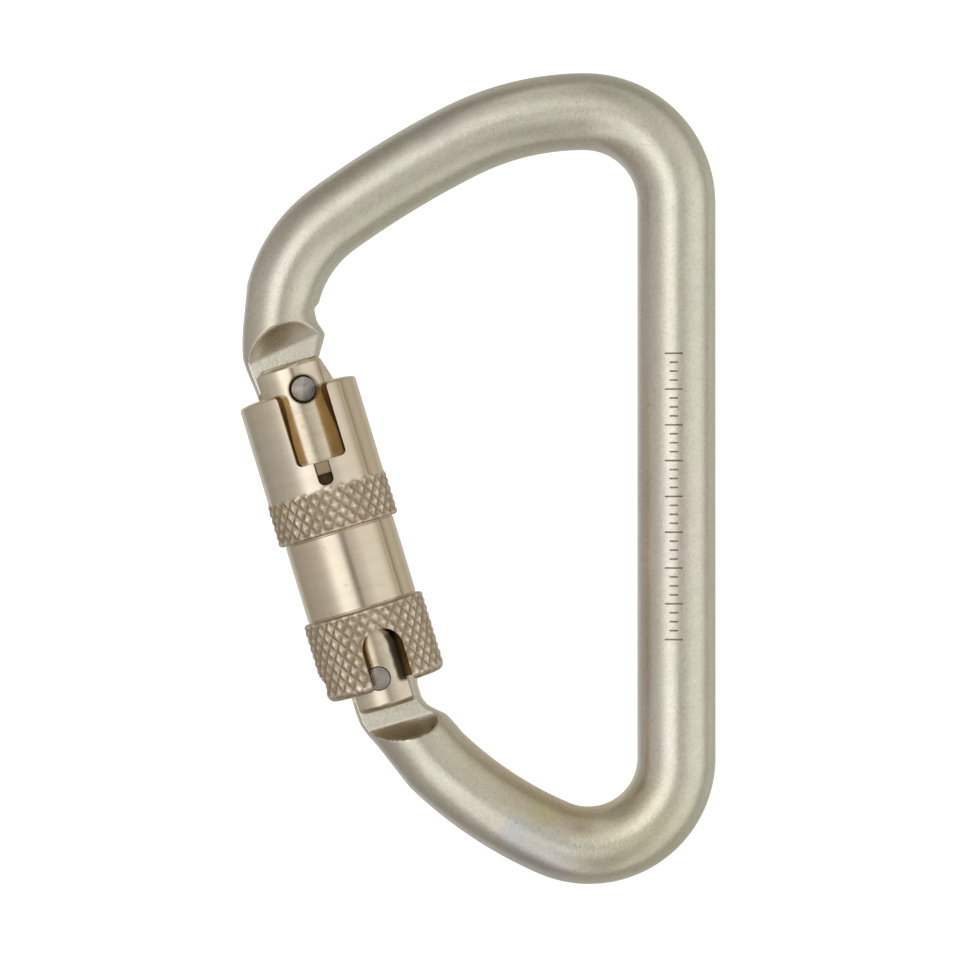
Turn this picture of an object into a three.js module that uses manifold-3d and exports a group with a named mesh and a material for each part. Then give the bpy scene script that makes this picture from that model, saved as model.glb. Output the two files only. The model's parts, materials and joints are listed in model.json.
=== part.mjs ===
// Locking carabiner, in millimetres. +Z runs up the load line, +X points to the spine,
// and the flat of the carabiner lies in the XZ plane. The origin is on the inside of the
// wide bow, where the load line meets it.
import * as THREE from 'three';
import { mergeVertices } from 'three/addons/utils/BufferGeometryUtils.js';
import Module from 'manifold-3d';

const wasm = await Module();
wasm.setup();

// ---- Driving dimensions --------------------------------------------------------------
const GAP = 0.3;                 // clearance between pieces that touch
const BAR_R = 5.9;               // body bar radius
const SPINE_X = 13.3;            // centre line of the straight spine
const SPINE_TOP = -8.24;         // where the spine starts to bend into the wide bow
const SPINE_BOTTOM = -93.44;     // where the spine starts to bend into the narrow bow
// Bends in order from the spine, as [centre-line radius, degrees]
const WIDE_BOW = [[14.13, 90], [42.3, 27.1], [147, 8.9], [20, 58], [22, 12.8]];
const NARROW_BOW = [[13.5, 113.2], [60.3, 28.6], [14, 21.3]];

const GATE_LEAN = THREE.MathUtils.degToRad(16.85);  // gate axis off the load line
const GATE_FOOT = new THREE.Vector3(-31.86, 0, -80.8);  // gate axis at hinge-pin height

// From here on, x and z are in the gate's frame: z up its axis from the hinge pin, and x
// towards the inside of the carabiner
const GATE_R = 5.95;
const GATE_TOP = 50.2;
const GATE_BOTTOM = -4.77;
const FORK_TOP = 7.6;            // top of the gate's lower fork slot
const FORK_FLOOR = 41.2;         // floor of the gate's upper fork slot
const FORK_WALL = 5;             // x where the upper slot ends, short of the inner side
const FOOT_SIDES = [-4.86, 3.6]; // x of the flats on the gate's foot
const BORE_R = 2.1;              // blind bore in the gate for the spring and plunger
const BORE_TOP = 30;
const RING_GROOVE = [8.9, 10.5];
const RING_GROOVE_R = 5.3;

const BLADE_T = 5;               // thickness of the nose blade and of the hinge tang
const HOOK_T = 4.2;              // thickness of the hook, below the blade
const BLADE_FOOT = 46.4;         // lower end of the nose blade
const FORK_W = BLADE_T + 2 * GAP;
const NOSE_SHOULDER = 52.8;      // end of the nose's flats, where they scoop out
const TANG_SHOULDER = -7.6;

const HINGE = [-0.48, 0];        // hinge pin centre
const HINGE_SHANK_R = 1.5;
const HINGE_HEAD_R = 1.95;
const HINGE_HEAD_FLOOR = 4.8;    // distance from the middle to the underside of the head
const NOSE_PIN = [0.91, 45.85];  // nose pin centre
const NOSE_SHANK_R = 1.25;
const NOSE_HEAD_R = 2;
const NOTCH_R = NOSE_SHANK_R + GAP + 0.05;

const CAM_R = 4.3;               // radius of the tang's cam under the closed plunger
const CAM_RISE = 3.5;            // cam rise per radian of gate swing
const CAM_END = THREE.MathUtils.degToRad(46);
const PLUNGER_TIP = 5.1;
const PLUNGER_TOP = 14;

const SLEEVE_R = 9.24;
const SLEEVE_BORE = 7.3;
const WAIST_R = 8.6;
const KNURL_CREST = 9.52;
const KNURL_DEPTH = 0.34;
const KNURL_COUNT = 30;          // diamonds round the sleeve
const KNURL_STEP = 1.2;          // half the height of one diamond
const RIM = 45.7;
const SLEEVE_FOOT = -1.65;
const RIB = [11, 12.5];          // inner rib that rests on the retaining ring
const RIB_R = GATE_R + GAP;
const BUSH = [31.6, 34];         // foot and top of the spring bush

// Openings in the sleeve, as directions in degrees from the front (-Y) round by the outer
// side, and as [x0, x1, z0] of the slots in the front
const RELEASE = [83, 218];       // lets the nose out once the sleeve has turned
const RELEASE_FLOOR = 40.6;
const FOOT_RELIEF = [70.6, 150];
const FOOT_RELIEF_TOP = 2.46;
const WINDOW = [-3.32, 4.45, 34.23];
const KEY_SLOT = [-0.48, 1.52, 30.46];
const FOOT_SLOT = [-1.94, 4.37];
const FOOT_SLOT_TOP = 7.08;

// ---- Helpers -------------------------------------------------------------------------
const PART = {};                 // finished geometries by node name

function solid(geometry) {
  const flat = geometry.clone();
  flat.deleteAttribute('normal');
  flat.deleteAttribute('uv');
  const merged = mergeVertices(flat, 1e-4);
  const index = merged.index.array;
  const kept = [];
  for (let i = 0; i < index.length; i += 3) {
    const [a, b, c] = [index[i], index[i + 1], index[i + 2]];
    if (a !== b && b !== c && a !== c) kept.push(a, b, c);
  }
  return new wasm.Manifold(new wasm.Mesh({
    numProp: 3,
    vertProperties: new Float32Array(merged.attributes.position.array),
    triVerts: new Uint32Array(kept),
  }));
}

function toGeometry(manifold) {
  const mesh = manifold.getMesh();
  const geometry = new THREE.BufferGeometry();
  geometry.setAttribute('position', new THREE.BufferAttribute(mesh.vertProperties, 3));
  geometry.setIndex(new THREE.BufferAttribute(mesh.triVerts, 1));
  geometry.computeVertexNormals();
  return geometry;
}

// Outline drawn in X and Z, thickened along Y between y0 and y1
function plateXZ(shape, y0, y1, curveSegments = 10) {
  const options = { depth: y1 - y0, bevelEnabled: false, curveSegments };
  const geometry = new THREE.ExtrudeGeometry(shape, options);
  return geometry.rotateX(Math.PI / 2).translate(0, y1, 0);
}

// Outline drawn in Y and Z, thickened along X between x0 and x1
function plateYZ(shape, x0, x1, curveSegments = 10) {
  const options = { depth: x1 - x0, bevelEnabled: false, curveSegments };
  const geometry = new THREE.ExtrudeGeometry(shape, options);
  const turn = new THREE.Matrix4().makeBasis(
    new THREE.Vector3(0, 1, 0), new THREE.Vector3(0, 0, 1), new THREE.Vector3(1, 0, 0));
  return geometry.applyMatrix4(turn).translate(x0, 0, 0);
}

// Outline drawn in X and Y, thickened along Z between z0 and z1
function plateXY(shape, z0, z1, curveSegments = 10) {
  const options = { depth: z1 - z0, bevelEnabled: false, curveSegments };
  return new THREE.ExtrudeGeometry(shape, options).translate(0, 0, z0);
}

function outline(points) {
  return new THREE.Shape(points.map(([u, v]) => new THREE.Vector2(u, v)));
}

function box(x0, x1, y0, y1, z0, z1) {
  return plateXZ(outline([[x0, z0], [x1, z0], [x1, z1], [x0, z1]]), y0, y1);
}

// Profile of [radius, z] turned about the Z axis
function turned(profile, segments = 48) {
  const points = profile.map(([r, z]) => new THREE.Vector2(r, z));
  return new THREE.LatheGeometry(points, segments).rotateX(Math.PI / 2);
}

function ring(inner, outer, z0, z1, segments = 48) {
  return turned([[inner, z0], [outer, z0], [outer, z1], [inner, z1], [inner, z0]], segments);
}

// Profile of [radius, y] turned about a line along Y through [x, z]
function turnedY(profile, [x, z], segments = 24) {
  const points = profile.map(([r, y]) => new THREE.Vector2(r, y));
  return new THREE.LatheGeometry(points, segments).translate(x, 0, z);
}

function drillY(radius, centre, y0, y1) {
  return turnedY([[0, y0], [radius, y0], [radius, y1], [0, y1]], centre);
}

// Slot from x0 to x1, with its floor at z0 and corners of radius r, open at z1
function slotOutline([x0, x1, z0], z1, r) {
  const shape = new THREE.Shape();
  shape.moveTo(x0, z1);
  shape.lineTo(x0, z0 + r);
  shape.absarc(x0 + r, z0 + r, r, Math.PI, 1.5 * Math.PI, false);
  shape.absarc(x1 - r, z0 + r, r, 1.5 * Math.PI, 2 * Math.PI, false);
  shape.lineTo(x1, z1);
  return shape;
}

function coil(radius, wire, z0, z1, turns, perTurn) {
  class Helix extends THREE.Curve {
    getPoint(t) {
      const a = 2 * Math.PI * turns * t;
      return new THREE.Vector3(radius * Math.cos(a), radius * Math.sin(a), z0 + (z1 - z0) * t);
    }
  }
  const section = new THREE.Shape().absarc(0, 0, wire / 2, 0, 2 * Math.PI);
  const options = { steps: Math.round(turns * perTurn), curveSegments: 3,
    extrudePath: new Helix(), bevelEnabled: false };
  return toGeometry(solid(new THREE.ExtrudeGeometry(section, options)));
}

const toBody = new THREE.Matrix4().makeRotationY(-GATE_LEAN).setPosition(GATE_FOOT);

function inBodyFrame(geometry) {
  return solid(geometry.applyMatrix4(toBody));
}

// ---- Body ----------------------------------------------------------------------------
// Points along successive bends; side is 1 for anticlockwise, -1 for clockwise
function followBends(x, z, heading, bends, side) {
  const points = [];
  for (const [radius, degrees] of bends) {
    const angle = THREE.MathUtils.degToRad(degrees);
    const cx = x - side * radius * Math.sin(heading);
    const cz = z + side * radius * Math.cos(heading);
    const count = Math.max(2, Math.round(angle * radius / 3.2));
    for (let i = 1; i <= count; i++) {
      const h = heading + side * angle * i / count;
      x = cx + side * radius * Math.sin(h);
      z = cz - side * radius * Math.cos(h);
      points.push(new THREE.Vector3(x, 0, z));
    }
    heading += side * angle;
  }
  return points;
}

function barCentreLine() {
  const spine = [];
  for (let i = 0; i <= 12; i++) {
    const z = SPINE_TOP + (SPINE_BOTTOM - SPINE_TOP) * i / 12;
    spine.push(new THREE.Vector3(SPINE_X, 0, z));
  }
  const wide = followBends(SPINE_X, SPINE_TOP, Math.PI / 2, WIDE_BOW, 1);
  const narrow = followBends(SPINE_X, SPINE_BOTTOM, -Math.PI / 2, NARROW_BOW, -1);
  return new THREE.CatmullRomCurve3([...wide.reverse(), ...spine, ...narrow]);
}

function barGeometry() {
  const section = new THREE.Shape().absarc(0, 0, BAR_R, 0, 2 * Math.PI);
  const options = { steps: 92, curveSegments: 9, extrudePath: barCentreLine(),
    bevelEnabled: false };
  return new THREE.ExtrudeGeometry(section, options);
}

// Nose blade, which ends just above the sleeve's rim
function noseOutline() {
  const [px, pz] = NOSE_PIN;
  const notch = Math.asin((BLADE_FOOT - pz) / NOTCH_R);
  const shape = new THREE.Shape();
  shape.moveTo(-4.4, 58);
  shape.lineTo(-5.3, 55);
  shape.quadraticCurveTo(-6.6, 52.8, -6.3, 50.5);
  shape.lineTo(-5.95, BLADE_FOOT);
  shape.lineTo(px - NOTCH_R * Math.cos(notch), BLADE_FOOT);
  shape.absarc(px, pz, NOTCH_R, Math.PI - notch, Math.PI / 2, true);
  shape.lineTo(4.3, 47.9);
  shape.lineTo(4.55, 49.2);
  shape.lineTo(5.2, 50.3);
  shape.lineTo(6.3, 52.2);
  shape.quadraticCurveTo(7, 53.2, 6.1, 53.8);
  shape.lineTo(4.8, 56);
  shape.lineTo(4.8, 58);
  return shape;
}

// Hook below the blade, thinner than it, that the nose pin sits in
function hookOutline() {
  const [px, pz] = NOSE_PIN;
  const shape = new THREE.Shape();
  shape.moveTo(-3.5, 50);
  shape.lineTo(-3.5, 43.6);
  shape.quadraticCurveTo(-3.5, 42.4, -2.3, 42.4);
  shape.lineTo(3.4, 42.4);
  shape.quadraticCurveTo(4.6, 42.4, 4.6, 43.7);
  shape.lineTo(px, pz - NOTCH_R);
  shape.absarc(px, pz, NOTCH_R, -Math.PI / 2, Math.PI / 2, true);
  shape.lineTo(px, 50);
  return shape;
}

// Hinge tang, with the cam that lifts the plunger as the gate opens
function tangOutline() {
  const shape = new THREE.Shape();
  shape.moveTo(HINGE[0], CAM_R);
  const steps = 10;
  for (let i = 1; i <= steps; i++) {
    const a = CAM_END * i / steps;
    const r = CAM_R + CAM_RISE * a;
    shape.lineTo(HINGE[0] + r * Math.sin(a), r * Math.cos(a));
  }
  shape.lineTo(5.06, -1.7);
  shape.bezierCurveTo(4.2, -4.6, 4.7, -6.6, 6.9, -8.35);
  shape.lineTo(6.4, -9.8);
  shape.lineTo(1.8, -11.4);
  shape.lineTo(-2.8, -10.2);
  shape.lineTo(-4.5, -8.8);
  shape.quadraticCurveTo(-5.7, -6.8, -5.7, -5);
  shape.lineTo(-5.7, -1.85);
  shape.bezierCurveTo(-5.7, 2.2, -3.2, CAM_R, HINGE[0], CAM_R);
  return shape;
}

// Cutter that leaves a flat BLADE_T / 2 from the middle and runs out in a scooped shoulder.
// The flat starts at z = foot and reaches towards end.
function flatCutter(foot, end, radius, side) {
  const towards = Math.sign(end - foot);
  const y0 = side * BLADE_T / 2;
  const shape = new THREE.Shape();
  shape.moveTo(y0, end);
  shape.lineTo(y0, foot);
  const steps = 6;
  for (let i = 1; i <= steps; i++) {
    const a = 0.5 * Math.PI * i / steps;
    const y = y0 + side * radius * (1 - Math.cos(a));
    shape.lineTo(y, foot - towards * radius * Math.sin(a));
  }
  shape.lineTo(side * 12, foot - towards * radius);
  shape.lineTo(side * 12, end);
  return plateYZ(shape, -14, 14);
}

function makeBody() {
  const far = 20;
  let bar = solid(barGeometry());
  bar = bar.subtract(inBodyFrame(box(-far, 9.5, -far, far, -8.4, 52.6)));
  for (const side of [-1, 1]) {
    bar = bar.subtract(inBodyFrame(flatCutter(NOSE_SHOULDER, 40, 4, side)));
    bar = bar.subtract(inBodyFrame(flatCutter(TANG_SHOULDER, 8, 3.2, side)));
  }
  const half = BLADE_T / 2;
  bar = bar.add(inBodyFrame(plateXZ(noseOutline(), -half, half)));
  bar = bar.add(inBodyFrame(plateXZ(hookOutline(), -HOOK_T / 2, HOOK_T / 2)));
  bar = bar.add(inBodyFrame(plateXZ(tangOutline(), -half, half)));
  return bar.subtract(inBodyFrame(drillY(HINGE_SHANK_R + GAP, HINGE, -far, far)));
}
PART.body = makeBody();

// ---- Gate ----------------------------------------------------------------------------
function makeGate() {
  const far = 12;
  let gate = solid(turned([
    [0, GATE_BOTTOM], [GATE_R - 0.85, GATE_BOTTOM], [GATE_R, GATE_BOTTOM + 0.85],
    [GATE_R, RING_GROOVE[0]], [RING_GROOVE_R, RING_GROOVE[0]],
    [RING_GROOVE_R, RING_GROOVE[1]], [GATE_R, RING_GROOVE[1]],
    [GATE_R, GATE_TOP - 0.7], [GATE_R - 0.25, GATE_TOP - 0.2],
    [GATE_R - 0.7, GATE_TOP], [0, GATE_TOP],
  ], 40));
  const half = FORK_W / 2;
  const bevel = [[4.6, 50.4], [4.9, 49.4], [5.98, 45.8], [9, 45.8], [9, 50.4]];
  const cuts = [
    box(-far, FORK_WALL, -half, half, FORK_FLOOR, far + GATE_TOP),
    box(-far, far, -half, half, GATE_BOTTOM - far, FORK_TOP),
    box(-far, FOOT_SIDES[0], -far, far, GATE_BOTTOM - far, 3),
    box(FOOT_SIDES[1], far, -far, far, GATE_BOTTOM - far, 3),
    plateXZ(outline(bevel), -far, far),
    turned([[0, FORK_TOP - 1], [BORE_R, FORK_TOP - 1], [BORE_R, BORE_TOP], [0, BORE_TOP]], 24),
    drillY(NOSE_SHANK_R + GAP, NOSE_PIN, -far, far),
    drillY(HINGE_SHANK_R + GAP, HINGE, -far, far),
  ];
  for (const side of [-1, 1]) {
    cuts.push(turnedY(sink(NOSE_HEAD_R + 0.35, NOSE_SHANK_R + GAP, side), NOSE_PIN));
    const floor = side * (HINGE_HEAD_FLOOR - GAP);
    const [y0, y1] = side > 0 ? [floor, far] : [-far, floor];
    cuts.push(drillY(HINGE_HEAD_R + GAP, HINGE, y0, y1));
  }
  for (const cut of cuts) gate = gate.subtract(solid(cut));
  return gate;
}

// Cone-shaped sink from the gate's surface down to the pin's hole
function sink(outer, inner, side) {
  const profile = [[0, 4.45], [inner, 4.45], [outer, 5.4], [outer, 8], [0, 8]];
  return side > 0 ? profile : profile.map(([r, y]) => [r, -y]).reverse();
}
PART.gate = makeGate();

// ---- Rivets --------------------------------------------------------------------------
function makeNoseRivet() {
  const [s, h] = [NOSE_SHANK_R, NOSE_HEAD_R];
  const profile = [[0, -6.15], [0.9, -6.05], [h, -5.6], [h, -5.4], [s, -4.35],
    [s, 4.35], [h, 5.4], [h, 5.6], [0.9, 6.05], [0, 6.15]];
  return solid(turnedY(profile, NOSE_PIN));
}

function makeHingeRivet() {
  const [s, h] = [HINGE_SHANK_R, HINGE_HEAD_R];
  const floor = HINGE_HEAD_FLOOR;
  const profile = [[0, -6], [h - 0.3, -5.95], [h, -5.7], [h, -floor], [s, -floor],
    [s, floor], [h, floor], [h, 5.7], [h - 0.3, 5.95], [0, 6]];
  return solid(turnedY(profile, HINGE));
}
PART.nose_rivet = makeNoseRivet();
PART.hinge_rivet = makeHingeRivet();

// ---- Spring and plunger in the gate ----------------------------------------------------
function makePlunger() {
  const r = BORE_R - GAP;
  return solid(turned([[0, PLUNGER_TIP], [0.7, PLUNGER_TIP + 0.15],
    [1.3, PLUNGER_TIP + 0.75], [r, PLUNGER_TIP + 1.9], [r, PLUNGER_TOP], [0, PLUNGER_TOP]], 20));
}
PART.gate_plunger = makePlunger();
PART.gate_spring = coil(1.4, 0.6, PLUNGER_TOP + 0.6, BORE_TOP - 0.6, 8, 11);

// ---- Locking sleeve --------------------------------------------------------------------
// Rings of [z, radius, knurled] from the foot's bore edge, up the outside and down the bore
function sleeveRings() {
  const rings = [[SLEEVE_FOOT, 8.4], [-1.3, 9]];
  const knurl = (z0, count) => {
    for (let i = 0; i <= count; i++) rings.push([z0 + KNURL_STEP * i, KNURL_CREST, true]);
  };
  knurl(-0.65, 9);
  rings.push([10.5, 9.25], [10.77, 8.9], [10.8, WAIST_R], [23.1, WAIST_R], [23.15, 8.95]);
  knurl(23.6, 5);
  rings.push([30.15, SLEEVE_R], [44.4, SLEEVE_R], [45.1, 9], [45.55, 8.6], [RIM, 8.1],
    [RIM, 7.6], [RIM - 0.3, SLEEVE_BORE], [RIB[1], SLEEVE_BORE], [RIB[1], RIB_R], [RIB[0], RIB_R],
    [RIB[0], SLEEVE_BORE], [-1, SLEEVE_BORE], [SLEEVE_FOOT, 7.9]);
  return rings;
}

// Closed surface through the rings. On knurled rings every second point is a valley, and
// the quads are split along the valleys so that the points between stand up as diamonds.
function sleeveBlank() {
  const rings = sleeveRings();
  const columns = 2 * KNURL_COUNT;
  const positions = [];
  rings.forEach(([z, radius, knurled], row) => {
    for (let c = 0; c < columns; c++) {
      const valley = knurled && (row + c) % 2 === 0;
      const r = radius - (valley ? KNURL_DEPTH : 0);
      const a = 2 * Math.PI * c / columns;
      positions.push(r * Math.cos(a), r * Math.sin(a), z);
    }
  });
  const index = [];
  for (let row = 0; row < rings.length; row++) {
    const next = (row + 1) % rings.length;
    for (let c = 0; c < columns; c++) {
      const d = (c + 1) % columns;
      const [a, b] = [row * columns + c, row * columns + d];
      const [e, f] = [next * columns + c, next * columns + d];
      if ((row + c) % 2 === 0) index.push(a, b, f, a, f, e);
      else index.push(a, b, e, b, f, e);
    }
  }
  const geometry = new THREE.BufferGeometry();
  geometry.setAttribute('position', new THREE.Float32BufferAttribute(positions, 3));
  geometry.setIndex(index);
  return geometry;
}

// Wedge between two directions, measured from the front (-Y) round by the outer side (-X)
function wedge([from, to], z0, z1) {
  const shape = new THREE.Shape();
  shape.moveTo(0, 0);
  const steps = 6;
  for (let i = 0; i <= steps; i++) {
    const a = THREE.MathUtils.degToRad(from + (to - from) * i / steps);
    shape.lineTo(-14 * Math.sin(a), -14 * Math.cos(a));
  }
  return plateXY(shape, z0, z1);
}

function footSlot() {
  const [x0, x1] = FOOT_SLOT;
  const r = (x1 - x0) / 2;
  const shape = new THREE.Shape();
  shape.moveTo(x0, -6);
  shape.lineTo(x1, -6);
  shape.absarc(x0 + r, FOOT_SLOT_TOP - r, r, 0, Math.PI, false);
  return shape;
}

function makeSleeve() {
  const cuts = [
    plateXZ(slotOutline(WINDOW, 60, 0.8), -14, 0),
    plateXZ(slotOutline(KEY_SLOT, 36, 0.99), -14, 0),
    plateXZ(footSlot(), -14, 0),
    wedge(RELEASE, RELEASE_FLOOR, 60),
    wedge(FOOT_RELIEF, -10, FOOT_RELIEF_TOP),
  ];
  let sleeve = solid(sleeveBlank());
  for (const cut of cuts) sleeve = sleeve.subtract(solid(cut));
  return sleeve;
}
PART.locking_sleeve = makeSleeve();

// ---- Pieces between the sleeve and the gate ----------------------------------------------
function makeBush() {
  const outer = SLEEVE_BORE - GAP;
  const collar = solid(ring(GATE_R + GAP, outer, BUSH[0], BUSH[1]));
  const [x0, x1] = [KEY_SLOT[0] + GAP, KEY_SLOT[1] - GAP];
  return collar.add(solid(box(x0, x1, -8.95, -6.5, 32.15, BUSH[1])));
}

function makeRetainingRing() {
  const whole = solid(ring(RING_GROOVE_R + GAP, 6.95, 9.2, 10.2));
  return whole.subtract(solid(box(-1, 1, 4, 9, 8, 12)));
}
PART.spring_bush = makeBush();
PART.retaining_ring = makeRetainingRing();
PART.sleeve_spring = coil(6.62, 0.7, RIB[1] + 0.8, BUSH[0] - 0.8, 6, 15);

// ---- Assembly ----------------------------------------------------------------------------
const FINISH = {
  body: [0xc9c5b4, 0.45],
  gate: [0xcdbf98, 0.35],
  locking_sleeve: [0xb3a58c, 0.35],
  gate_plunger: [0x9a9a9a, 0.3],
  gate_spring: [0x8c8c90, 0.3],
  sleeve_spring: [0x8c8c90, 0.3],
  spring_bush: [0x9d7b4f, 0.4],
  retaining_ring: [0x77777c, 0.35],
  nose_rivet: [0x8e8a8a, 0.4],
  hinge_rivet: [0x8e8a8a, 0.4],
};

function node(name) {
  const [color, roughness] = FINISH[name];
  const made = PART[name];
  const geometry = made.isBufferGeometry ? made : toGeometry(made);
  const material = new THREE.MeshStandardMaterial({ color, roughness, metalness: 1 });
  const mesh = new THREE.Mesh(geometry, material);
  mesh.name = name;
  return mesh;
}

const carabiner = new THREE.Group();
carabiner.name = 'locking_carabiner';
carabiner.add(node('body'));

const gateAssembly = new THREE.Group();
gateAssembly.name = 'gate_assembly';
gateAssembly.position.copy(GATE_FOOT);
gateAssembly.rotation.y = -GATE_LEAN;
for (const name of Object.keys(FINISH)) {
  if (name !== 'body') gateAssembly.add(node(name));
}
carabiner.add(gateAssembly);

export default carabiner;
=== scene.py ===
import json
import math

import bmesh
import bpy
import numpy as np
from mathutils import Matrix, Vector


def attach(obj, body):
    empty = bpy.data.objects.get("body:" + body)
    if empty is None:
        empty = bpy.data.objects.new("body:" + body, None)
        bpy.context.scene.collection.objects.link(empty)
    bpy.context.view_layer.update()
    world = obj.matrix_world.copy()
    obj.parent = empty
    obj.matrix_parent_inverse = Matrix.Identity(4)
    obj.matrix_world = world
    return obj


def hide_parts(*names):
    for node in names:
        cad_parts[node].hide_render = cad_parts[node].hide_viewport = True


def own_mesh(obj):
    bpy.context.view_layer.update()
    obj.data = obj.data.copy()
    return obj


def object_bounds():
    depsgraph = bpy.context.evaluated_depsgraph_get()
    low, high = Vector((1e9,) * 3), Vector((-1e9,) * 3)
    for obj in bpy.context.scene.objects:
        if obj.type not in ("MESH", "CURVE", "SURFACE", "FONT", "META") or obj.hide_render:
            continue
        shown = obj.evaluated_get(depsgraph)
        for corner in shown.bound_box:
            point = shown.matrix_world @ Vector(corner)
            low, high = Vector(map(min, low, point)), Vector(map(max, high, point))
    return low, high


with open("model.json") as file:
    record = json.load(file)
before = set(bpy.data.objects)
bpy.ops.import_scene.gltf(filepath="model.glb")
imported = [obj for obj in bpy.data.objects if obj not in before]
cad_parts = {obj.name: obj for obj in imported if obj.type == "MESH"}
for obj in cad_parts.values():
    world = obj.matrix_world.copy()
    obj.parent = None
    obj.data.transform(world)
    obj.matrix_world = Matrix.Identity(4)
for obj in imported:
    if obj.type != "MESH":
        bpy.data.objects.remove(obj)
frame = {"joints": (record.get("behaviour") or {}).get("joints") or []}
CAD_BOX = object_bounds()
JOINTS = {joint["name"]: joint for joint in frame["joints"]}
MM = 0.001

# ---- The carabiner's dimensions, in millimetres ----------------------------------------
# Bar centre line: bends in order from the spine, as (centre-line radius, degrees)
SPINE_X, SPINE_TOP, SPINE_BOTTOM = 13.3, -8.24, -93.44
WIDE_BOW = [(14.13, 90), (42.3, 27.1), (147, 8.9), (20, 58), (22, 12.8)]
NARROW_BOW = [(13.5, 113.2), (60.3, 28.6), (14, 21.3)]
SPINE_R, NOSE_R, TANG_R = 6.0, 5.66, 5.8
STATION_STEP = 0.9  # longest step between the bar's sections, on the outside of a bend
MILLED = 14  # how far from the bar's ends its flats can reach
# Row of plain bars stamped across the front of the spine
STAMP_X, STAMP_TOP, STAMP_PITCH, STAMP_COUNT = 12.55, -31.5, 1.36, 33
STAMP_DEPTH, STAMP_WIDTH, STAMP_SHORT, STAMP_LONG = 0.12, 0.26, 1.3, 2.7

# From here on, x and z are in the gate's frame: z up its axis from the hinge pin
BLADE_HALF = 2.5
HOOK_HALF = 2.1
# Sides of the nose and of the tang: (z, outer side x, inner side x)
NOSE_SIDES = [(45.78, -6.0, 3.9), (47.6, -6.12, 4.28), (49.2, -6.3, 4.6), (50.4, -6.42, 5.2),
              (52.0, -6.5, 6.22), (52.9, -6.45, 6.66), (53.6, -6.3, 6.52), (55.2, -5.85, 6.1),
              (57.0, -5.25, 6.25)]
TANG_SIDES = [(-10.6, -3.75, 8.62), (-9.1, -4.4, 7.9), (-8.6, -4.66, 7.63),
              (-8.3, -4.8, 7.36), (-7.5, -5.1, 6.45),
              (-6.15, -5.5, 5.2), (-4.6, -5.62, 4.72), (-3, -5.65, 4.72), (-1.6, -5.65, 5.0),
              (1.2, -5.5, 5.0)]
# The milled flats end at a crease, past which the metal thickens with the distance and with
# its square
NOSE_CREASE, NOSE_CREASE_SLOPE = 52.3, 0.126
TANG_CREASE, TANG_CREASE_SLOPE = -7.4, -0.02
NOSE_SCOOP = (0.38, 0.135)
TANG_SCOOP = (0.45, 0.247)
CREASE_SOFTNESS = 0.22
# The nose's foot is tapered across its thickness, to clear the sleeve's rim as the gate opens
FOOT_EDGE, FOOT_TAPER = 0.5, 2.4

# Rivets: centre (x, z), head radius, hole radius
HINGE, HINGE_HEAD, HINGE_HOLE = (-0.48, 0.0), 1.8, 1.8
NOSE_PIN, NOSE_HEAD, NOSE_HOLE = (1.3, 45.45), 1.93, 1.55
# The nose pin's notch, and the mouth it swings out through: half height, degrees of swing
NOTCH_R, MOUTH_HALF, MOUTH_SWING = 1.6, 1.4, 7
# Cam on the tang, under the plunger: radius, rise per radian, end
CAM_R, CAM_RISE, CAM_END = 4.3, 3.5, math.radians(46)

GATE_R, GATE_TOP, GATE_BOTTOM = 5.95, 49.9, -4.77
# Fork slots: half width, top of the lower one, floor and inner wall of the upper one
FORK_HALF, FORK_TOP, FORK_FLOOR, FORK_WALL = 2.8, 7.6, 41.2, 5.0
FOOT_SIDES = (-4.86, 3.6)  # flats beside the hinge: outer x, inner x
BORE_R, BORE_TOP = 2.1, 30.0
RING_GROOVE = (8.9, 10.5, 5.3)  # low z, high z, radius

SLEEVE_R, SLEEVE_BORE, UPPER_BORE, WAIST_R = 9.24, 7.3, 6.3, 8.6
HEAD_BORE = 6.85  # bore at the rim, which clears the nose rivet's points
# Knurl: radius of its crests, depth, teeth in a turn, height of a tooth
KNURL_CREST, KNURL_DEPTH, KNURL_COUNT, KNURL_CELL = 9.54, 0.4, 30, 2.4
RIM, SLEEVE_FOOT = 45.7, -1.65
RIB = (11.0, 12.5, 6.25)  # low z, high z, radius
# Slots in the front: low x, high x, height of the closed end
WINDOW = (-2.88, 4.86, 34.1)
KEY_SLOT = (-0.38, 1.96, 30.4)
FOOT_SLOT = (-1.6, 4.72, 7.35)
# Slots round the outer side: first and last direction in degrees from the front, height of
# the closed end
RELEASE = (83, 218, 40.6)
FOOT_RELIEF = (70.6, 150, 2.46)

COLLAR = (6.25, 7.0, 30.0, 34.0)  # inner radius, outer radius, low z, high z
KEY = (-0.32, 1.9, 32.15, 34.05)  # low x, high x, low z, high z
RING = (5.6, 6.95, 9.2, 10.2)  # inner radius, outer radius, low z, high z
# Springs: coil radius, wire, first z, last z, turns
SPRINGS = {"gate_spring": (1.4, 0.6, 14.6, 29.4, 8), "sleeve_spring": (6.62, 0.7, 13.3, 29.5, 6)}


def gate_frame():
    """Matrix from the gate's frame to the row's, both in metres."""
    twist = JOINTS["sleeve_twist"]
    up = Vector(twist["axis"]).normalized()
    side = Vector((up.z, 0, -up.x))
    turn = Matrix((side, Vector((0, 1, 0)), up)).transposed()
    return Matrix.Translation(Vector(twist["pos_m"])) @ turn.to_4x4()


GATE = gate_frame()
ROW = Matrix.Identity(4)


# ---- Mesh helpers ----------------------------------------------------------------------
def new_mesh(name, points, faces, matrix=ROW):
    """An object from points in millimetres, in the frame that matrix leads from."""
    data = bpy.data.meshes.new(name)
    data.from_pydata([tuple(c * MM for c in p) for p in points], [], faces)
    data.validate()
    obj = bpy.data.objects.new(name, data)
    bpy.context.scene.collection.objects.link(obj)
    obj.matrix_world = matrix
    recalculate(obj)
    return obj


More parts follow.
